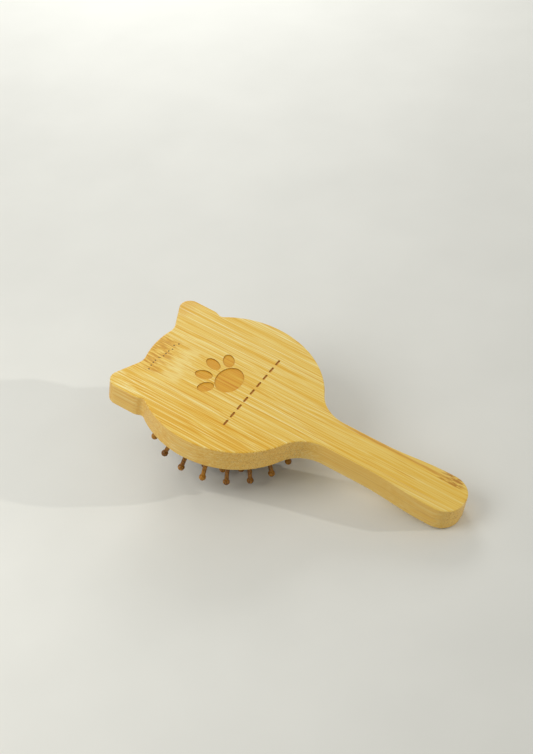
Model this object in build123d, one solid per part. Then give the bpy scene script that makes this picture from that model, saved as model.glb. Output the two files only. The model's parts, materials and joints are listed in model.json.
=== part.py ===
from build123d import *
import math
import os

# Cat-head bristle brush: a flat board of two glued bamboo layers, a domed rubber
# cushion clipped into the round opening of the lower layer, and ball-tipped turned
# wooden pins that stand through the cushion.
#
# Everything is drawn in the board's own frame (mm): origin at the centre of the
# round head on the top face, +X toward the handle, +Z out of the top face.
# main() then tips the whole brush so that it lies pins down on a table at z = 0.

# Board outline
HEAD_RADIUS = 43.0
BOARD_THICKNESS = 12.2
LOWER_LAYER = BOARD_THICKNESS / 2
EDGE_RADIUS = 0.6
EAR_TIP_X = -42.2
EAR_TIP_Y = 29.2
EAR_TIP_RADIUS = 5.5
EAR_FOOT_X = -40.4
EAR_FOOT_Y = 11.6
EAR_WAIST_X = -31.0
EAR_WAIST_FILLET = 6.0
EAR_ROOT_X = -24.0
EAR_ROOT_Y = 31.8
EAR_NOTCH_X = -27.5
EAR_NOTCH_FILLET = 2.5
EAR_INNER_FILLET = 8.0
NECK_HALF_WIDTH = 9.0
NECK_FILLET = 18.0
GRIP_HALF_WIDTH = 11.3
FLARE_START_X = 75.0
FLARE_END_X = 107.0
HANDLE_END_X = 121.0
HANDLE_END_RADIUS = 10.1

# Pocket and bead groove: the pocket goes right through the lower layer
POCKET_RADIUS = 35.5
POCKET_MOUTH_CHAMFER = 0.4
GROOVE_RADIUS = 37.0
GROOVE_LOW = 1.0
GROOVE_HIGH = 3.3
CUTTER_MARGIN = 1.0

# Engraved paw print on the top face
ENGRAVE_DEPTH = 0.35
PAW_X = -2.0
PAW_Y = 0.0
PAW_PAD_WIDTH = 17.0
PAW_PAD_LENGTH = 12.5
PAW_TOE_WIDTH = 5.6
PAW_TOE_LENGTH = 8.4
PAW_TOE_RING = 12.2
PAW_TOE_ANGLES = (-57.0, -20.0, 20.0, 57.0)
DASH_COUNT = 9
DASH_X = 10.5
DASH_PITCH = 5.8
DASH_LENGTH = 3.8
DASH_WIDTH = 1.0

# Rubber cushion: a dome of revolution with a skirt and a rim bead
DOME_RADIUS = 35.2
DOME_HEIGHT = 9.0
DOME_POWER = 3.2
DOME_SAMPLES = 14
RUBBER_THICKNESS = 1.4
SKIRT_TOP = 3.1
SKIRT_THICKNESS = 1.8
SKIRT_LIP = 0.6
BEAD_RADIUS = 36.7
BEAD_LOW = 1.3
BEAD_HIGH = 3.0
COLLAR_BASE_RADIUS = 2.4
COLLAR_TOP_RADIUS = 1.75
COLLAR_SINK = 0.7
COLLAR_HEIGHT = 0.6
PIN_HOLE_RADIUS = 1.15
HOLE_CUTTER_LENGTH = 6.0
VENT_RADIUS = 0.9
VENT_RING = 10.8
VENT_ANGLE = 45.0

# Turned wooden pins, measured along the pin from the cushion's outer surface
PIN_LENGTH = 14.5
PIN_STEM_RADIUS = 1.05
PIN_BALL_RADIUS = 1.65
PIN_HEAD_START = 1.55
PIN_HEAD_END = 2.5
PIN_HEAD_RADIUS = 1.9
PIN_STUB_END = 3.1
PIN_STUB_RADIUS = 1.2

# Pin rings: (ring name, number of pins, radius at the cushion, first angle)
PIN_RINGS = (
    ("outer", 20, 29.0, -4.8),
    ("second", 18, 21.2, -2.0),
    ("third", 12, 14.2, 0.0),
    ("inner", 6, 7.3, 15.0),
    ("centre", 1, 0.0, 0.0),
)

# How the brush lies on the table
STEEPEST_TILT = 45.0
TILT_ROUNDS = 60


def dome_height(radius):
    """Height of the cushion's outer surface below the board's underside."""
    return DOME_HEIGHT * (1.0 - (radius / DOME_RADIUS) ** DOME_POWER)


def dome_lean(radius):
    """Angle between the cushion's outward normal and straight down, in radians."""
    ratio = (radius / DOME_RADIUS) ** (DOME_POWER - 1.0)
    return math.atan(DOME_POWER * DOME_HEIGHT / DOME_RADIUS * ratio)


def pin_root(radius, angle_deg):
    """Where a pin leaves the cushion, and the direction in which it points."""
    angle = math.radians(angle_deg)
    lean = dome_lean(radius)
    root = (
        radius * math.cos(angle),
        radius * math.sin(angle),
        -BOARD_THICKNESS - dome_height(radius),
    )
    direction = (
        math.sin(lean) * math.cos(angle),
        math.sin(lean) * math.sin(angle),
        -math.cos(lean),
    )
    return root, direction


def pin_layout():
    """Name, root and direction of every pin."""
    pins = []
    for ring, count, radius, first in PIN_RINGS:
        for index in range(count):
            root, direction = pin_root(radius, first + 360.0 / count * index)
            pins.append((f"{ring}_pin_{index + 1:02d}", root, direction))
    return pins


def plate(face):
    """A flat face made into a piece of board, from the top face down."""
    return extrude(face, BOARD_THICKNESS, dir=(0, 0, -1))


def ear(side):
    """One ear (side +1 or -1): round tip, sloping inner side, outer side with a waist."""
    reach = math.hypot(EAR_TIP_X - EAR_FOOT_X, EAR_TIP_Y - EAR_FOOT_Y)
    bearing = math.atan2(EAR_TIP_Y - EAR_FOOT_Y, EAR_TIP_X - EAR_FOOT_X)
    slope = bearing + math.asin(EAR_TIP_RADIUS / reach)
    run = math.sqrt(reach**2 - EAR_TIP_RADIUS**2)
    corners = [
        (EAR_FOOT_X, EAR_FOOT_Y),
        (EAR_FOOT_X + run * math.cos(slope), EAR_FOOT_Y + run * math.sin(slope)),
        (EAR_TIP_X, EAR_TIP_Y),
        (EAR_TIP_X, EAR_TIP_Y + EAR_TIP_RADIUS),
        (EAR_WAIST_X, EAR_TIP_Y + EAR_TIP_RADIUS),
        (EAR_ROOT_X, EAR_ROOT_Y),
        (EAR_ROOT_X, EAR_FOOT_Y),
    ]
    wedge = Polygon(*[(x, side * y) for x, y in corners], align=None)
    tip = Pos(EAR_TIP_X, side * EAR_TIP_Y) * Circle(EAR_TIP_RADIUS)
    return plate(wedge) + plate(tip)


def handle():
    """The handle, narrow at the neck and wider at its rounded end."""
    corner = HANDLE_END_X - HANDLE_END_RADIUS
    flat = GRIP_HALF_WIDTH - HANDLE_END_RADIUS
    upper = [
        Line((0, NECK_HALF_WIDTH), (FLARE_START_X, NECK_HALF_WIDTH)),
        Spline(
            (FLARE_START_X, NECK_HALF_WIDTH),
            (FLARE_END_X, GRIP_HALF_WIDTH),
            tangents=((1, 0), (1, 0)),
        ),
        Line((FLARE_END_X, GRIP_HALF_WIDTH), (corner, GRIP_HALF_WIDTH)),
        RadiusArc((corner, GRIP_HALF_WIDTH), (HANDLE_END_X, flat), HANDLE_END_RADIUS),
    ]
    lower = [mirror(edge, about=Plane.XZ) for edge in upper]
    ends = [
        Line((HANDLE_END_X, flat), (HANDLE_END_X, -flat)),
        Line((0, -NECK_HALF_WIDTH), (0, NECK_HALF_WIDTH)),
    ]
    return plate(make_face(upper + lower + ends))


def corner_edges(board, x, y):
    """The board's upright edge nearest to (x, y), and the one nearest to (x, -y)."""
    edges = board.edges().filter_by(Axis.Z)
    nearest = []
    for side in (1, -1):
        corner = Vector(x, side * y, -BOARD_THICKNESS / 2)
        nearest.append(min(edges, key=lambda edge: (edge.center() - corner).length))
    return nearest


def board_blank():
    """The sawn board: round head, two ears and handle, their corners rounded."""
    board = plate(Circle(HEAD_RADIUS)) + ear(1) + ear(-1) + handle()
    neck_x = math.sqrt(HEAD_RADIUS**2 - NECK_HALF_WIDTH**2)
    notch_y = math.sqrt(HEAD_RADIUS**2 - EAR_NOTCH_X**2)
    board = fillet(corner_edges(board, neck_x, NECK_HALF_WIDTH), NECK_FILLET)
    board = fillet(corner_edges(board, EAR_NOTCH_X, notch_y), EAR_NOTCH_FILLET)
    waist = corner_edges(board, EAR_WAIST_X, EAR_TIP_Y + EAR_TIP_RADIUS)
    board = fillet(waist, EAR_WAIST_FILLET)
    return fillet(corner_edges(board, EAR_FOOT_X, EAR_FOOT_Y), EAR_INNER_FILLET)


def paw_print():
    """A plain paw print with a row of dashes below it, as flat faces on the top face."""
    marks = [Pos(PAW_X, PAW_Y) * Ellipse(PAW_PAD_LENGTH / 2, PAW_PAD_WIDTH / 2)]
    for angle in PAW_TOE_ANGLES:
        turn = Rot(0, 0, 180.0 + angle)
        toe = Pos(PAW_TOE_RING, 0) * Ellipse(PAW_TOE_LENGTH / 2, PAW_TOE_WIDTH / 2)
        marks.append(Pos(PAW_X, PAW_Y) * turn * toe)
    for index in range(DASH_COUNT):
        dash_y = PAW_Y + DASH_PITCH * (index - (DASH_COUNT - 1) / 2)
        marks.append(Pos(DASH_X, dash_y) * Rot(0, 0, 90) * SlotOverall(DASH_LENGTH, DASH_WIDTH))
    return marks


def pocket_space():
    """The round pocket with its bead groove and chamfered mouth, as one solid."""
    level = -BOARD_THICKNESS
    top = level + LOWER_LAYER + CUTTER_MARGIN
    section = Polyline(
        (0, level - CUTTER_MARGIN),
        (POCKET_RADIUS + POCKET_MOUTH_CHAMFER + CUTTER_MARGIN, level - CUTTER_MARGIN),
        (POCKET_RADIUS, level + POCKET_MOUTH_CHAMFER),
        (POCKET_RADIUS, level + GROOVE_LOW),
        (GROOVE_RADIUS, level + GROOVE_LOW),
        (GROOVE_RADIUS, level + GROOVE_HIGH),
        (POCKET_RADIUS, level + GROOVE_HIGH),
        (POCKET_RADIUS, top),
        (0, top),
        close=True,
    )
    return revolve(Plane.XZ * make_face(section), Axis.Z)


def bamboo_layers():
    """The board's upper layer, engraved on top, and its lower layer with the pocket."""
    board = board_blank()
    faces = board.faces().sort_by(Axis.Z)
    board = fillet(faces[0].edges() + faces[-1].edges(), EDGE_RADIUS)
    glue_line = Plane(origin=(0, 0, LOWER_LAYER - BOARD_THICKNESS))
    upper = split(board, bisect_by=glue_line, keep=Keep.TOP)
    lower = split(board, bisect_by=glue_line, keep=Keep.BOTTOM) - pocket_space()
    for mark in paw_print():
        upper = upper - Pos(0, 0, -ENGRAVE_DEPTH) * extrude(mark, 2 * ENGRAVE_DEPTH)
    return upper, lower


def cushion_shell():
    """The cushion without its pin holes, turned about the head's centre."""
    outer = []
    inner = []
    for step in range(DOME_SAMPLES + 1):
        radius = DOME_RADIUS * step / DOME_SAMPLES
        lean = dome_lean(radius)
        height = -BOARD_THICKNESS - dome_height(radius)
        outer.append((radius, height))
        inside = radius - RUBBER_THICKNESS * math.sin(lean)
        if step < DOME_SAMPLES:
            inner.append((inside, height + RUBBER_THICKNESS * math.cos(lean)))
    skirt_in = DOME_RADIUS - SKIRT_THICKNESS
    level = -BOARD_THICKNESS
    inner_start = inner[0]
    outer_start = outer[0]
    inner_end = inner[-1]
    wall = Polyline(
        (DOME_RADIUS, level),
        (DOME_RADIUS, level + BEAD_LOW),
        (BEAD_RADIUS, level + BEAD_LOW),
        (BEAD_RADIUS, level + BEAD_HIGH),
        (DOME_RADIUS, level + SKIRT_TOP),
        (skirt_in, level + SKIRT_TOP),
        (skirt_in, level + SKIRT_LIP),
        inner_end,
    )
    section = make_face(
        [Spline(outer), Spline(inner), wall, Line(inner_start, outer_start)]
    )
    return revolve(Plane.XZ * section, Axis.Z)


def rubber_cushion():
    """The cushion with a collar and a hole for each pin, and one vent hole."""
    cushion = cushion_shell()
    collars = []
    holes = []
    for _, root, direction in pin_layout():
        seat = Plane(origin=root, z_dir=direction).location
        middle = (COLLAR_HEIGHT - COLLAR_SINK) / 2
        collar = Cone(COLLAR_BASE_RADIUS, COLLAR_TOP_RADIUS, COLLAR_HEIGHT + COLLAR_SINK)
        collars.append(seat * Pos(0, 0, middle) * collar)
        holes.append(seat * Cylinder(PIN_HOLE_RADIUS, HOLE_CUTTER_LENGTH))
    vent_root, vent_direction = pin_root(VENT_RING, VENT_ANGLE)
    vent_seat = Plane(origin=vent_root, z_dir=vent_direction).location
    holes.append(vent_seat * Cylinder(VENT_RADIUS, HOLE_CUTTER_LENGTH))
    return (cushion + collars) - holes


def turned_pin():
    """One pin along +Z: stub and head inside the cushion, stem, ball tip."""
    neck = math.sqrt(PIN_BALL_RADIUS**2 - PIN_STEM_RADIUS**2)
    lines = [
        Polyline(
            (0, -PIN_STUB_END),
            (PIN_STUB_RADIUS, -PIN_STUB_END),
            (PIN_STUB_RADIUS, -PIN_HEAD_END),
            (PIN_HEAD_RADIUS, -PIN_HEAD_END),
            (PIN_HEAD_RADIUS, -PIN_HEAD_START),
            (PIN_STEM_RADIUS, -PIN_HEAD_START),
            (PIN_STEM_RADIUS, PIN_LENGTH - neck),
        ),
        ThreePointArc(
            (PIN_STEM_RADIUS, PIN_LENGTH - neck),
            (PIN_BALL_RADIUS, PIN_LENGTH),
            (0, PIN_LENGTH + PIN_BALL_RADIUS),
        ),
        Line((0, PIN_LENGTH + PIN_BALL_RADIUS), (0, -PIN_STUB_END)),
    ]
    return revolve(Plane.XZ * make_face(lines), Axis.Z)


def lowest(points, tilt, radius):
    """Lowest level of round points (x, z) once the brush is tipped by tilt."""
    return min(z * math.cos(tilt) - x * math.sin(tilt) for x, z in points) - radius


def rest_tilt():
    """Tilt at which the ball tips and the handle's end stand on one level table."""
    balls = []
    for _, root, direction in pin_layout():
        x = root[0] + PIN_LENGTH * direction[0]
        z = root[2] + PIN_LENGTH * direction[2]
        balls.append((x, z))
    heel = [(HANDLE_END_X - EDGE_RADIUS, -BOARD_THICKNESS + EDGE_RADIUS)]
    low, high = 0.0, math.radians(STEEPEST_TILT)
    for _ in range(TILT_ROUNDS):
        tilt = (low + high) / 2
        if lowest(balls, tilt, PIN_BALL_RADIUS) < lowest(heel, tilt, EDGE_RADIUS):
            low = tilt
        else:
            high = tilt
    return low, lowest(heel, low, EDGE_RADIUS)


def main():
    tilt, floor = rest_tilt()
    tip = Rot(0, math.degrees(tilt), 0)
    upper, lower = bamboo_layers()
    ears_x = (tip * lower).bounding_box().min.X
    heel_x = (tip * upper).bounding_box().max.X
    rest = Pos(-(ears_x + heel_x) / 2, 0, -floor) * tip
    os.makedirs("parts", exist_ok=True)
    export_step(rest * upper, "parts/bamboo_upper.step")
    export_step(rest * lower, "parts/bamboo_lower.step")
    export_step(rest * rubber_cushion(), "parts/rubber_cushion.step")
    pin = turned_pin()
    for name, root, direction in pin_layout():
        placed = rest * Plane(origin=root, z_dir=direction).location * pin
        export_step(placed, f"parts/{name}.step")


main()
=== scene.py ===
import json
import math

import bmesh
import bpy
from mathutils import Matrix, Vector
from mathutils.geometry import delaunay_2d_cdt


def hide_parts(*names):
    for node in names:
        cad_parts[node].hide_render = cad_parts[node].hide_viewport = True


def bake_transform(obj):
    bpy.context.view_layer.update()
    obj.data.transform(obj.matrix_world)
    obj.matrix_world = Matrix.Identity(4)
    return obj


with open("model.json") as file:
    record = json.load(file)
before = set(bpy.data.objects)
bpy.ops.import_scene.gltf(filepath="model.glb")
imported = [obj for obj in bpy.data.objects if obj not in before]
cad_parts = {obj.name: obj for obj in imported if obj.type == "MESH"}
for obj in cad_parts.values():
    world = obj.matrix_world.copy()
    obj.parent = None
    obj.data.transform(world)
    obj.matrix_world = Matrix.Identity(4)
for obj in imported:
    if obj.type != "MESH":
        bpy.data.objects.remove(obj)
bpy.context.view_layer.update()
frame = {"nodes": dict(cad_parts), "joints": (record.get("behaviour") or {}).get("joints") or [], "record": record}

MM = 0.001

# Sizes repeated from the CAD part, in millimetres, in the board's own frame: origin at the
# centre of the round head on the top face, +X toward the handle, +Z out of the top face.
BOARD_THICKNESS = 12.2
LOWER_LAYER = 6.1
REST_MOUNT_X = 32.0
DOME_RADIUS = 35.2
DOME_HEIGHT = 9.0
DOME_POWER = 3.2
RUBBER_THICKNESS = 1.4
SKIRT_TOP = 3.1
SKIRT_THICKNESS = 1.8
BEAD_RADIUS = 36.6
BEAD_LOW = 1.4
BEAD_HIGH = 2.9
VENT_RING = 10.8
VENT_ANGLE = 45.0
ENGRAVE_DEPTH = 0.35
DASH_X = 10.5

# Places of the glue joints and the marks on the board, in the same frame
GLUE_LINE = LOWER_LAYER - BOARD_THICKNESS
STRIP_WIDTH = 25.2
STRIP_JOINT = 7.2  # y of one joint between two strips
CANE_SHIFT = (400.0, 60.0, 60.0)  # how far apart in the cane two strips may lie
CROWN_STRIP = (-18.5, 8.0)  # y from and to
CROWN_MARK = -29.0  # x where the brown begins
CROWN_PALE_BAND = -25.0  # x
CROWN_PITS = -36.6  # x of the row on the -Y side
HANDLE_MARK = 111.0  # x
HANDLE_LINE = 7.6  # y
EAR_TIP = -37.5  # x where the orange begins
MARKS_LENGTH = (-23.2, 12.2)  # x from and to of the engraved marks
MARKS_HALF_WIDTH = 27.2  # y

# Rubber round each pin and round the vent: (distance from the hole's axis, height above the dome)
COLLAR = ((1.28, 0.34), (1.35, 0.52), (1.50, 0.61), (1.70, 0.60), (1.86, 0.44),
          (2.02, 0.24), (2.24, 0.10), (2.5, 0.02), (2.9, 0.0))
PIN_HOLE = 1.1
VENT_LIP = ((0.92, -0.2), (1.0, -0.05), (1.15, 0.0), (1.6, 0.0))
VENT_HOLE = 0.9

# The rubber is thinner where the flat head of a pin lies against it
SEAT_THICKNESS = 1.0
SEAT_REACH = 2.6

# Skirt and bead: the bead's rounding, and two heights of the skirt's inner side above the
# board's lower face
BEAD_ROUND = 0.3
SKIRT_INNER_LOW = 0.6
SKIRT_INNER_MIDDLE = 1.6

# How finely the rubber is divided
SEAT_SEGMENTS = 24
RIM_SEGMENTS = 132
POINT_SPACING = 1.2
RING_SPACING = 1.15
FIRST_RING_IN = 0.5
FIRST_RING_SPACING = 0.7
SMALLEST_RING = 0.3
SEAT_CLEARANCE = 0.45

FLOOR_HALF_SIDE = 6.0


# ---------------------------------------------------------------- the board's own frame
def board_matrix():
    """Takes a point in the board's own frame, in millimetres, to the row frame in metres."""
    press = next(joint for joint in frame["joints"] if joint["name"] == "cushion_press")
    mount = next(m for m in frame["record"]["mounts"] if m["name"] == "board_top")
    up = Vector(press["axis"]).normalized()
    along = Vector((up.z, 0.0, -up.x))
    origin = Vector(mount["pos_m"]) - along * REST_MOUNT_X * MM
    turn = Matrix((along, Vector((0.0, 1.0, 0.0)), up)).transposed().to_4x4()
    return Matrix.Translation(origin) @ turn @ Matrix.Scale(MM, 4)


TO_ROW = board_matrix()
TO_BOARD = TO_ROW.inverted()
TURN_TO_BOARD = TO_BOARD.to_3x3().normalized().to_euler()


# ---------------------------------------------------------------- colours
def srgb(red, green, blue):
    """A display colour, 0 to 255, as the linear colour that shaders use."""
    def linear(value):
        value /= 255.0
        return value / 12.92 if value <= 0.04045 else ((value + 0.055) / 1.055) ** 2.4
    return (linear(red), linear(green), linear(blue), 1.0)


BAMBOO = (
    (0.37, srgb(223, 162, 24)),
    (0.44, srgb(231, 183, 56)),
    (0.50, srgb(237, 199, 90)),
    (0.56, srgb(242, 214, 126)),
    (0.63, srgb(247, 235, 178)),
)
BAMBOO_WARM_TINT = (1.0, 0.95, 0.68, 1.0)
BAMBOO_VESSEL = srgb(214, 148, 26)
# Wall colour: the sawn surface's own tone with painted shade mixed in
SAWN_WALL_AND_PAINTED_SHADE = srgb(214, 170, 92)
BAMBOO_END_SPECK = srgb(142, 92, 34)
GLUE = srgb(180, 126, 52)

CROWN_MOTTLE = ((0.38, srgb(200, 134, 18)), (0.5, srgb(223, 168, 46)), (0.6, srgb(244, 212, 108)))
CROWN_PALE = srgb(247, 228, 150)
PIT = srgb(78, 38, 2)
HANDLE_STREAK = srgb(176, 108, 16)
HANDLE_LINE_BROWN = srgb(200, 128, 26)
EAR_ORANGE = srgb(222, 158, 34)

BURNT_FLOOR = srgb(240, 212, 118)
BURNT_DASH = srgb(208, 160, 84)
BURNT_SIDE = srgb(120, 72, 26)

PIN_WOOD = ((0.38, srgb(66, 36, 0)), (0.49, srgb(124, 76, 4)), (0.58, srgb(178, 122, 26)))
PIN_PORE = srgb(56, 30, 0)

RUBBER = ((0.35, srgb(30, 30, 31)), (0.65, srgb(52, 51, 50)))
RUBBER_DUST = srgb(92, 88, 82)

FLOOR = ((0.3, srgb(226, 227, 221)), (0.7, srgb(230, 231, 225)))


# ---------------------------------------------------------------- material helpers
class Shader:
    """Short calls that add nodes to one material and give back their output sockets."""

    def __init__(self, name):
        self.material = bpy.data.materials.new(name)
        self.material.use_nodes = True
        self.tree = self.material.node_tree
        self.tree.nodes.clear()
        self.point = self.board_point()

    def add(self, kind, inputs, **settings):
        """Adds a node. Each input is a value or the output of another node."""
        node = self.tree.nodes.new(kind)
        for name, value in settings.items():
            setattr(node, name, value)
        for key, value in inputs.items():
            if isinstance(value, bpy.types.NodeSocket):
                self.tree.links.new(value, node.inputs[key])
            else:
                node.inputs[key].default_value = value
        return node

    def board_point(self):
        """Where the shaded point lies in the board's own frame, in millimetres."""
        inputs = {
            "Vector": self.add("ShaderNodeTexCoord", {}).outputs["Object"],
            "Location": TO_BOARD.translation,
            "Rotation": TURN_TO_BOARD,
            "Scale": (1 / MM, 1 / MM, 1 / MM),
        }
        return self.add("ShaderNodeMapping", inputs).outputs["Vector"]

    def board_normal(self):
        """The surface's normal in the board's own frame."""
        normal = self.add("ShaderNodeNewGeometry", {}).outputs["Normal"]
        inputs = {"Vector": normal, "Rotation": TURN_TO_BOARD}
        return self.add("ShaderNodeMapping", inputs, vector_type="VECTOR").outputs["Vector"]

    def math(self, operation, first, second=0.0):
        inputs = {0: first, 1: second}
        return self.add("ShaderNodeMath", inputs, operation=operation).outputs[0]

    def times(self, first, *others):
        for other in others:
            first = self.math("MULTIPLY", first, other)
        return first

    def plus(self, first, *others):
        for other in others:
            first = self.math("ADD", first, other)
        return first

    def minus(self, first, second):
        return self.math("SUBTRACT", first, second)

    def size(self, value):
        return self.math("ABSOLUTE", value)

    def sway(self, value, amount):
        """A value from 0 to 1 turned into one around 0 that spans the amount."""
        return self.times(self.minus(value, 0.5), amount)

    def vector(self, operation, first, second):
        inputs = {0: first, 1: second}
        return self.add("ShaderNodeVectorMath", inputs, operation=operation).outputs["Vector"]

    def split(self, vector):
        return self.add("ShaderNodeSeparateXYZ", {0: vector}).outputs

    def join(self, x, y, z):
        return self.add("ShaderNodeCombineXYZ", {0: x, 1: y, 2: z}).outputs[0]

    def noise(self, point, spread, detail=2.0, roughness=0.5):
        """Noise with one cell per 1/spread millimetres along each axis."""
        inputs = {
            "Vector": self.vector("MULTIPLY", point, spread),
            "Scale": 1.0,
            "Detail": detail,
            "Roughness": roughness,
        }
        return self.add("ShaderNodeTexNoise", inputs).outputs["Fac"]

    def cells(self, point, spread):
        """Distance to the nearest of some scattered points, in cells."""
        inputs = {"Vector": self.vector("MULTIPLY", point, spread), "Scale": 1.0}
        return self.add("ShaderNodeTexVoronoi", inputs).outputs["Distance"]

    def step(self, value, low, high):
        """0 below low, 1 above high, smooth in between (or falling, where low > high)."""
        inputs = {"Value": value, "From Min": low, "From Max": high}
        node = self.add("ShaderNodeMapRange", inputs, interpolation_type="SMOOTHSTEP")
        return node.outputs["Result"]

    def between(self, value, low, high, soft):
        """1 between low and high, falling to 0 at both over the length of soft."""
        return self.times(self.step(value, low, low + soft), self.step(value, high, high - soft))

    def near(self, value, place, far, close):
        """1 where the value is closer than close to a place, 0 where it is further than far."""
        return self.step(self.size(self.minus(value, place)), far, close)

    def mix(self, share, first, second, blend="MIX"):
        inputs = {0: share, 6: first, 7: second}
        node = self.add("ShaderNodeMix", inputs, data_type="RGBA", blend_type=blend)
        return node.outputs[2]

    def ramp(self, value, stops):
        node = self.add("ShaderNodeValToRGB", {0: value})
        elements = node.color_ramp.elements
        while len(elements) < len(stops):
            elements.new(1.0)
        for element, (position, colour) in zip(elements, stops):
            element.position = position
            element.color = colour
        return node.outputs["Color"]

    def bump(self, height, distance, strength):
        inputs = {"Height": height, "Distance": distance * MM, "Strength": strength}
        return self.add("ShaderNodeBump", inputs).outputs["Normal"]

    def finish(self, **inputs):
        """Ends the material with the standard shader; an underscore stands for a space."""
        named = {name.replace("_", " "): value for name, value in inputs.items()}
        shader = self.add("ShaderNodeBsdfPrincipled", named)
        output = self.tree.nodes.new("ShaderNodeOutputMaterial")
        self.tree.links.new(shader.outputs[0], output.inputs["Surface"])
        return self.material


# ---------------------------------------------------------------- materials
def bamboo_material():
    """Flat strips of bamboo glued side by side: long fibres, joint marks, end grain."""
    s = Shader("laminated_bamboo")
    x, y, z = s.split(s.point)[:3]
    facing = s.split(s.board_normal())
    upright = s.size(facing[2])
    endways = s.size(facing[0])

    # Each wide strip of each glued layer comes from another part of the cane. The layer's
    # number is 0 above the glue line, the top face included, and -2 below it.
    strip = s.math("FLOOR", s.math("DIVIDE", s.minus(y, STRIP_JOINT), STRIP_WIDTH))
    layer = s.minus(0.0, s.times(s.math("LESS_THAN", z, GLUE_LINE), 2.0))
    seed = s.join(strip, layer, 0.5)
    luck = s.add("ShaderNodeTexWhiteNoise", {"Vector": seed}, noise_dimensions="3D")
    tone = luck.outputs["Value"]
    shift = s.vector("MULTIPLY", luck.outputs["Color"], CANE_SHIFT)
    place = s.vector("ADD", s.point, shift)

    # The fibres wander a little along the board
    wander = s.sway(s.noise(place, (0.014, 0.05, 0.05), detail=1.0), 3.0)
    place = s.vector("ADD", place, s.join(0.0, wander, wander))

    broad = s.noise(place, (0.006, 0.2, 0.2))
    warmth = s.noise(place, (0.009, 0.42, 0.42))
    streaks = s.noise(place, (0.011, 1.5, 1.5), detail=3.0, roughness=0.6)
    fibres = s.noise(place, (0.018, 3.0, 3.0), detail=3.0, roughness=0.62)
    grain = s.plus(s.times(streaks, 0.48), s.times(fibres, 0.42), s.times(broad, 0.10),
                   s.sway(tone, 0.05))
    # The handle comes from an evener stretch of cane
    calm = s.minus(1.0, s.times(s.step(x, 42.0, 84.0), 0.42))
    grain = s.plus(0.5, s.sway(grain, calm))
    colour = s.ramp(grain, BAMBOO)
    warm = s.times(s.step(warmth, 0.4, 0.62), 0.6)
    colour = s.mix(warm, colour, BAMBOO_WARM_TINT, "MULTIPLY")

    # Bundles of vessels: fine orange lines along the strips
    line = s.step(s.cells(place, (0.011, 1.35, 1.35)), 0.27, 0.14)
    fade = s.step(s.noise(place, (0.02, 0.4, 0.4), detail=1.0), 0.42, 0.62)
    line = s.times(line, s.plus(s.times(fade, 0.6), 0.14))
    colour = s.mix(line, colour, BAMBOO_VESSEL)

    # The sawn walls are darker, partly from their own duller sawn surface and partly from painted shade, with the
    # glue line, and dark specks on the end grain
    walls = s.step(upright, 0.75, 0.35)
    ends = s.times(walls, s.step(endways, 0.25, 0.8))
    # Partly painted shade: every side face is pulled halfway toward the darker wall colour, on top of the sawn
    # surface's own dullness
    colour = s.mix(s.times(walls, 0.5), colour, SAWN_WALL_AND_PAINTED_SHADE)
    speck = s.step(s.cells(place, (0.3, 1.7, 1.7)), 0.36, 0.14)
    colour = s.mix(s.times(speck, ends, 0.75), colour, BAMBOO_END_SPECK)
    glue = s.near(z, GLUE_LINE, far=0.35, close=0.1)
    colour = s.mix(s.times(glue, walls, 0.2), colour, GLUE)

    colour = crown_mark(s, colour, x, y, upright)
    colour = handle_mark(s, colour, x, y)
    colour = ear_mark(s, colour, x, y)
    colour = engraving(s, colour, x, y, z, upright)

    rough = s.plus(s.times(s.minus(0.6, grain), 0.5), 0.4)
    relief = s.minus(s.times(fibres, 0.5), s.times(line, 0.5))
    normal = s.bump(relief, distance=0.06, strength=0.5)
    return s.finish(Base_Color=colour, Roughness=rough, Normal=normal, Coat_Weight=0.12,
                    Coat_Roughness=0.35, IOR=1.5)


def crown_mark(s, colour, x, y, upright):
    """Brown joint mark across one strip of cane at the crown, with its row of pits."""
    ragged = s.noise(s.point, (0.1, 0.75, 0.75), detail=3.0, roughness=0.6)
    front = s.plus(x, s.sway(ragged, 26.0))
    inside = s.between(y, *CROWN_STRIP, soft=2.5)
    patch = s.times(s.step(front, CROWN_MARK, CROWN_MARK - 7.0), inside)
    # Fainter on the board's wall
    faint = s.plus(s.times(s.step(upright, 0.35, 0.75), 0.7), 0.3)
    patch = s.times(patch, faint)
    mottle = s.noise(s.point, (0.14, 1.0, 1.0), detail=3.0, roughness=0.62)
    colour = s.mix(s.times(patch, 0.8), colour, s.ramp(mottle, CROWN_MOTTLE))
    pale = s.times(s.near(front, CROWN_PALE_BAND, far=6.0, close=1.0), inside)
    colour = s.mix(s.times(pale, 0.5), colour, CROWN_PALE)
    # On the +Y side the pits lie a little nearer the middle of the head
    row = s.plus(s.times(s.step(y, -8.5, -6.0), 2.4), CROWN_PITS)
    return pits(s, colour, x, y, row, inside, pitch=2.15, radius=0.5)


def pits(s, colour, x, y, row, inside, pitch, radius):
    """A row of small dark pits across the grain, a little out of line."""
    index = s.math("FLOOR", s.math("DIVIDE", y, pitch))
    luck = s.add("ShaderNodeTexWhiteNoise", {"W": index}, noise_dimensions="1D")
    jump = s.split(luck.outputs["Color"])
    middle = s.times(s.plus(index, 0.5), pitch)
    away_y = s.minus(s.minus(y, middle), s.sway(jump[1], 1.0))
    away_x = s.minus(s.minus(x, row), s.sway(jump[0], 1.8))
    away = s.math("SQRT", s.plus(s.times(away_x, away_x), s.times(away_y, away_y)))
    dot = s.times(s.step(away, radius, radius * 0.5), inside)
    return s.mix(s.times(dot, 0.95), colour, PIT)


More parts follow.
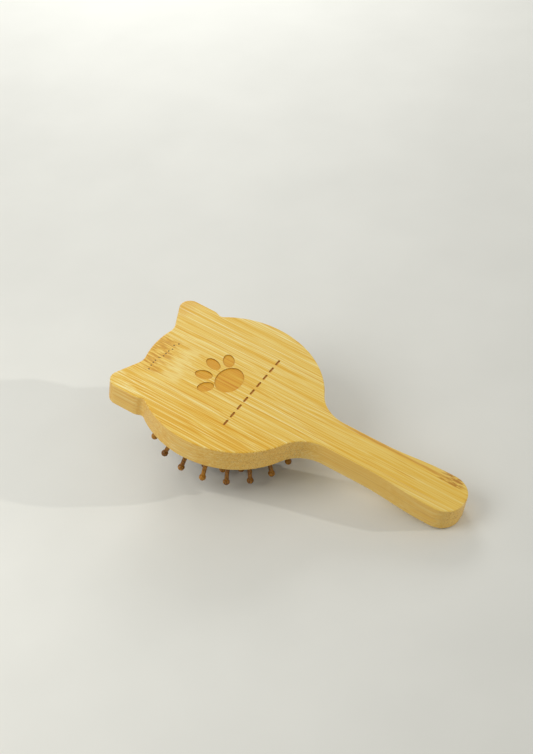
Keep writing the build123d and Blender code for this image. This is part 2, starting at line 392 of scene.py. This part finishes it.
def handle_mark(s, colour, x, y):
    """Streaky joint mark at one corner of the handle's end, and the dark line that leads to it."""
    ragged = s.noise(s.point, (0.16, 0.9, 0.9), detail=3.0, roughness=0.6)
    away = s.plus(s.size(s.minus(x, HANDLE_MARK)), s.sway(ragged, 16.0))
    inside = s.times(s.step(away, 7.5, 2.0), s.step(y, 4.2, 6.2))
    streak = s.noise(s.point, (0.2, 1.1, 1.0), roughness=0.6)
    mark = s.times(inside, s.step(streak, 0.6, 0.42))
    colour = s.mix(s.times(mark, 0.8), colour, HANDLE_STREAK)
    along = s.times(s.step(x, 46.0, 64.0), s.step(x, 112.0, 100.0))
    drift = s.plus(y, s.sway(ragged, 1.2))
    line = s.near(drift, HANDLE_LINE, far=1.1, close=0.2)
    return s.mix(s.times(line, along, 0.62), colour, HANDLE_LINE_BROWN)


def ear_mark(s, colour, x, y):
    """A faint orange joint mark at the tip of one ear."""
    ragged = s.noise(s.point, (0.12, 0.8, 0.8), detail=3.0, roughness=0.6)
    front = s.plus(x, s.sway(ragged, 22.0))
    mark = s.times(s.step(front, EAR_TIP, EAR_TIP - 7.0), s.step(y, 20.0, 25.0))
    return s.mix(s.times(mark, 0.34), colour, EAR_ORANGE)


def engraving(s, colour, x, y, z, upright):
    """The floor and walls of the shallow marks on the top face, browned by the laser."""
    zone = s.between(x, *MARKS_LENGTH, soft=0.2)
    zone = s.times(zone, s.near(y, 0.0, far=MARKS_HALF_WIDTH, close=MARKS_HALF_WIDTH - 0.2))
    zone = s.times(zone, s.step(z, -1.0, -0.9))
    sunk = s.times(s.step(z, -0.1, -0.6 * ENGRAVE_DEPTH), zone)
    dashes = s.step(x, DASH_X - 1.4, DASH_X - 1.2)
    burnt = s.mix(dashes, BURNT_FLOOR, BURNT_DASH)
    colour = s.mix(sunk, colour, burnt, "MULTIPLY")
    sides = s.times(s.step(upright, 0.8, 0.4), zone)
    return s.mix(s.times(sides, 0.75), colour, BURNT_SIDE)


def pin_material():
    """Brown stained hardwood with a thin lacquer, its grain along the pins."""
    s = Shader("stained_pin_wood")
    tone = s.noise(s.point, (0.11, 0.11, 0.01), detail=1.0)
    grain = s.noise(s.point, (2.6, 2.6, 0.22), detail=3.0, roughness=0.6)
    colour = s.ramp(s.plus(s.times(grain, 0.5), s.times(tone, 0.5)), PIN_WOOD)
    pore = s.step(s.cells(s.point, (3.4, 3.4, 0.4)), 0.3, 0.12)
    colour = s.mix(s.times(pore, 0.35), colour, PIN_PORE)
    normal = s.bump(s.minus(grain, pore), distance=0.03, strength=0.5)
    rough = s.plus(s.times(grain, 0.2), 0.24)
    return s.finish(Base_Color=colour, Roughness=rough, Normal=normal, Coat_Weight=0.3,
                    Coat_Roughness=0.08, Specular_IOR_Level=0.25)


def rubber_material():
    """Matt black natural rubber with a fine moulded skin and a little bloom."""
    s = Shader("black_rubber")
    bloom = s.noise(s.point, (0.09, 0.09, 0.09), detail=3.0, roughness=0.6)
    skin = s.noise(s.point, (6.0, 6.0, 6.0))
    dust = s.step(s.noise(s.point, (3.0, 3.0, 3.0)), 0.62, 0.75)
    colour = s.mix(s.times(dust, 0.25), s.ramp(bloom, RUBBER), RUBBER_DUST)
    rough = s.plus(s.times(bloom, 0.25), 0.42)
    normal = s.bump(skin, distance=0.03, strength=0.45)
    return s.finish(Base_Color=colour, Roughness=rough, Normal=normal, IOR=1.52,
                    Sheen_Weight=0.15, Sheen_Roughness=0.5)


def floor_material():
    s = Shader("pale_floor")
    speckle = s.noise(s.point, (0.02, 0.02, 0.02), detail=3.0)
    return s.finish(Base_Color=s.ramp(speckle, FLOOR), Roughness=0.75)


# ---------------------------------------------------------------- mesh helpers
def turns(count, shift=0.0):
    """Angles that divide a full turn evenly."""
    return [2.0 * math.pi * (index + shift) / count for index in range(count)]


def on_circle(radius, turn):
    return Vector((radius * math.cos(turn), radius * math.sin(turn)))


def add_piece(name, mesh, material):
    """Turns a bmesh into an object in the scene."""
    data = bpy.data.meshes.new(name)
    mesh.to_mesh(data)
    mesh.free()
    data.materials.append(material)
    piece = bpy.data.objects.new(name, data)
    bpy.context.scene.collection.objects.link(piece)
    return piece


# ---------------------------------------------------------------- rubber cushion
def dome_slope(radius):
    """How steeply the cushion's outer surface falls, at a distance from its centre."""
    share = min(radius / DOME_RADIUS, 1.0)
    return DOME_POWER * DOME_HEIGHT / DOME_RADIUS * share ** (DOME_POWER - 1.0)


def dome_point(x, y, above=0.0):
    """A point on the cushion's outer surface, or above it along its normal."""
    radius = math.hypot(x, y)
    height = DOME_HEIGHT * (1.0 - min(radius / DOME_RADIUS, 1.0)**DOME_POWER)
    slope = dome_slope(radius)
    if radius > 1e-9:
        outward = Vector((x / radius * slope, y / radius * slope, -1.0)).normalized()
    else:
        outward = Vector((0.0, 0.0, -1.0))
    return Vector((x, y, -BOARD_THICKNESS - height)) + outward * above


def pin_seats():
    """Where each pin crosses the cushion, in the board's frame, from its own joint."""
    seats = []
    for joint in frame["joints"]:
        if joint["name"].endswith("_tilt"):
            spot = TO_BOARD @ Vector(joint["pos_m"])
            seats.append((spot.x, spot.y))
    return seats


def seat_rings(seat, hole, lip):
    """Rings of flat points round a hole, inner first: (distance from its axis, height, points).

    The hole's own ring has no height: the outer and inner surfaces meet there.
    """
    radius = math.hypot(*seat)
    lean = math.atan(dome_slope(radius))
    outward = Vector(seat).normalized() if radius > 0.5 else Vector((1.0, 0.0))
    sideways = Vector((-outward.y, outward.x))
    middle = Vector(seat) + outward * 0.5 * RUBBER_THICKNESS * math.sin(lean)
    rings = []
    for distance, height in ((hole, None), *lip):
        ring = []
        for turn in turns(SEAT_SEGMENTS):
            flat = middle + outward * distance * math.cos(turn) * math.cos(lean)
            ring.append(flat + sideways * distance * math.sin(turn))
        rings.append((distance, height, ring))
    return rings


class Layout:
    """The membrane laid out flat.

    Each point has a height above the dome for the outer surface and a depth below it for the
    inner one. The holes and the rim are lists of point indices, and taken holds the centre and
    reach of each hole's rings.
    """

    def __init__(self):
        self.flats, self.heights, self.depths = [], [], []
        self.edges, self.holes, self.taken = [], [], []
        for seat in pin_seats():
            self.add_hole(seat, PIN_HOLE, COLLAR)
        vent_turn = math.radians(VENT_ANGLE)
        vent = (VENT_RING * math.cos(vent_turn), VENT_RING * math.sin(vent_turn))
        self.add_hole(vent, VENT_HOLE, VENT_LIP)
        self.rim = self.add_ring([on_circle(DOME_RADIUS, turn) for turn in turns(RIM_SEGMENTS)])
        self.fill()

    def add(self, flat, height=0.0, depth=RUBBER_THICKNESS):
        self.flats.append(flat)
        self.heights.append(height)
        self.depths.append(depth)

    def add_ring(self, ring, height=0.0, depth=RUBBER_THICKNESS):
        """Adds a closed ring of points with its edges."""
        first = len(self.flats)
        for flat in ring:
            self.add(flat, height, depth)
        indices = list(range(first, len(self.flats)))
        self.edges += list(zip(indices, indices[1:] + indices[:1]))
        return indices

    def add_hole(self, seat, hole, lip):
        rings = seat_rings(seat, hole, lip)
        added = []
        for distance, height, ring in rings:
            depth = SEAT_THICKNESS if distance < SEAT_REACH else RUBBER_THICKNESS
            added.append(self.add_ring(ring, height, depth))
        self.holes.append(added[0])
        centre = sum(rings[0][2], Vector((0, 0))) / SEAT_SEGMENTS
        reach = rings[-1][0] + SEAT_CLEARANCE
        self.taken.append((centre, reach))

    def fill(self):
        """Rings of points over the rest of the dome, clear of the holes."""
        radius = DOME_RADIUS - FIRST_RING_IN
        spacing = FIRST_RING_SPACING
        while radius > SMALLEST_RING:
            count = max(6, round(2.0 * math.pi * radius / POINT_SPACING))
            for turn in turns(count, 0.5 * (count % 2)):
                flat = on_circle(radius, turn)
                if all((flat - centre).length > reach for centre, reach in self.taken):
                    self.add(flat)
            radius -= spacing
            spacing = RING_SPACING


def rubber_piece(material):
    """The domed membrane with a collar around each pin, its skirt and its clip-in bead."""
    layout = Layout()
    _, _, faces, sources, _, _ = delaunay_2d_cdt(layout.flats, layout.edges, [], 0, 1e-6)
    hole_of = {index: number for number, ring in enumerate(layout.holes) for index in ring}
    on_rim = set(layout.rim)
    mesh = bmesh.new()
    outer, inner = {}, {}
    for index, flat in enumerate(layout.flats):
        height = layout.heights[index]
        if height is None:
            middle = mesh.verts.new(dome_point(flat.x, flat.y, -0.5 * RUBBER_THICKNESS))
            outer[index] = inner[index] = middle
            continue
        outer[index] = mesh.verts.new(dome_point(flat.x, flat.y, height))
        if index not in on_rim:
            inner[index] = mesh.verts.new(dome_point(flat.x, flat.y, -layout.depths[index]))
    # The rim's inner edge meets the skirt a little inside the dome's edge
    shrink = (DOME_RADIUS - SKIRT_THICKNESS) / DOME_RADIUS
    for index in layout.rim:
        flat = layout.flats[index] * shrink
        inner[index] = mesh.verts.new((flat.x, flat.y, -BOARD_THICKNESS + SKIRT_INNER_LOW))
    for face in faces:
        corners = [sources[vertex][0] for vertex in face]
        # A face with all its corners on one hole's ring would close that hole
        marks = {hole_of.get(corner) for corner in corners}
        if len(marks) == 1 and None not in marks:
            continue
        mesh.faces.new([outer[corner] for corner in corners])
        mesh.faces.new([inner[corner] for corner in reversed(corners)])
    add_skirt(mesh, layout, outer, inner)
    bmesh.ops.recalc_face_normals(mesh, faces=mesh.faces)
    for face in mesh.faces:
        face.smooth = True
    piece = add_piece("cushion_membrane", mesh, material)
    piece.data.transform(TO_ROW)
    return piece


def add_skirt(mesh, layout, outer, inner):
    """The skirt inside the pocket's mouth, and the bead that clips into its groove."""
    inner_radius = DOME_RADIUS - SKIRT_THICKNESS
    profile = (
        (DOME_RADIUS, 0.5 * BEAD_LOW),
        (DOME_RADIUS, BEAD_LOW),
        (BEAD_RADIUS - BEAD_ROUND, BEAD_LOW),
        (BEAD_RADIUS, BEAD_LOW + BEAD_ROUND),
        (BEAD_RADIUS, BEAD_HIGH - BEAD_ROUND),
        (BEAD_RADIUS - BEAD_ROUND, BEAD_HIGH),
        (DOME_RADIUS, SKIRT_TOP),
        (inner_radius, SKIRT_TOP),
        (inner_radius, SKIRT_INNER_MIDDLE),
    )
    rows = [[outer[index] for index in layout.rim]]
    for radius, height in profile:
        row = []
        for index in layout.rim:
            flat = layout.flats[index] * (radius / DOME_RADIUS)
            row.append(mesh.verts.new((flat.x, flat.y, -BOARD_THICKNESS + height)))
        rows.append(row)
    rows.append([inner[index] for index in layout.rim])
    for low, high in zip(rows, rows[1:]):
        for index in range(RIM_SEGMENTS):
            after = (index + 1) % RIM_SEGMENTS
            mesh.faces.new((low[index], low[after], high[after], high[index]))


# ---------------------------------------------------------------- stage, light, camera
def add_floor(material):
    mesh = bmesh.new()
    corners = []
    for x, y in ((-1, -1), (1, -1), (1, 1), (-1, 1)):
        corners.append(mesh.verts.new((x * FLOOR_HALF_SIDE, y * FLOOR_HALF_SIDE, 0.0)))
    mesh.faces.new(corners)
    floor = add_piece("floor", mesh, material)


def toward(azimuth, elevation):
    """Unit vector to a light or camera, azimuth counted from +X about +Z, in degrees."""
    turn, rise = math.radians(azimuth), math.radians(elevation)
    flat = math.cos(rise)
    return Vector((flat * math.cos(turn), flat * math.sin(turn), math.sin(rise)))


def add_light(name, kind, target, azimuth, elevation, distance, energy, size, colour=(1, 1, 1)):
    """A round area light of that size in metres, or a sun of that size in radians."""
    light = bpy.data.lights.new(name, kind)
    light.energy = energy
    light.color = colour
    if kind == "AREA":
        light.shape = "DISK"
        light.size = size
    else:
        light.angle = size
    lamp = bpy.data.objects.new(name, light)
    lamp.visible_camera = False
    away = toward(azimuth, elevation)
    lamp.location = target + away * distance
    lamp.rotation_euler = away.to_track_quat("Z", "Y").to_euler()
    bpy.context.scene.collection.objects.link(lamp)


def add_camera(aim, azimuth, elevation, roll, distance, lens):
    """The camera, looking at aim from that side, turned by roll about its own axis."""
    data = bpy.data.cameras.new("camera")
    data.sensor_fit = "AUTO"
    data.sensor_width = 36.0
    data.lens = lens
    data.clip_start = 0.01
    data.clip_end = 50.0
    camera = bpy.data.objects.new("camera", data)
    away = toward(azimuth, elevation)
    level = away.to_track_quat("Z", "Y").to_matrix()
    camera.matrix_world = (
        Matrix.Translation(aim + away * distance)
        @ (level @ Matrix.Rotation(math.radians(roll), 3, "Z")).to_4x4()
    )
    bpy.context.scene.collection.objects.link(camera)
    bpy.context.scene.camera = camera


def add_world(colour, strength):
    world = bpy.data.worlds.new("studio")
    world.use_nodes = True
    background = world.node_tree.nodes["Background"]
    background.inputs["Color"].default_value = (*colour, 1.0)
    background.inputs["Strength"].default_value = strength
    bpy.context.scene.world = world


# ---------------------------------------------------------------- the scene
def paint(node, material):
    data = frame["nodes"][node].data
    data.materials.clear()
    data.materials.append(material)


bamboo = bamboo_material()
pin_wood = pin_material()
for name in frame["nodes"]:
    if name.startswith("bamboo_"):
        paint(name, bamboo)
    elif name != "rubber_cushion":
        paint(name, pin_wood)

membrane = rubber_piece(rubber_material())
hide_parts("rubber_cushion")
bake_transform(membrane)

add_floor(floor_material())
head = TO_ROW @ Vector((0.0, 0.0, -BOARD_THICKNESS / 2))
behind = head + Vector((-0.28, 0.38, 0.0))
add_light("key", "AREA", head, azimuth=235.0, elevation=45.0, distance=0.42,
          energy=0.76, size=0.31, colour=(1.0, 0.985, 0.96))
add_light("low_right", "SUN", head, azimuth=25.0, elevation=24.0, distance=2.0,
          energy=0.66, size=math.radians(1.4), colour=(1.0, 0.96, 0.90))
add_light("far_floor", "AREA", behind, azimuth=125.0, elevation=60.0, distance=0.4,
          energy=1.6, size=0.3)
add_world(colour=(1.0, 0.985, 0.95), strength=0.46)

add_camera(aim=Vector((-0.02348, 0.01201, 0.03756)), azimuth=-54.831, elevation=39.633,
           roll=-6.822, distance=0.71868, lens=73.56)
bpy.context.scene.view_settings.view_transform = "Standard"
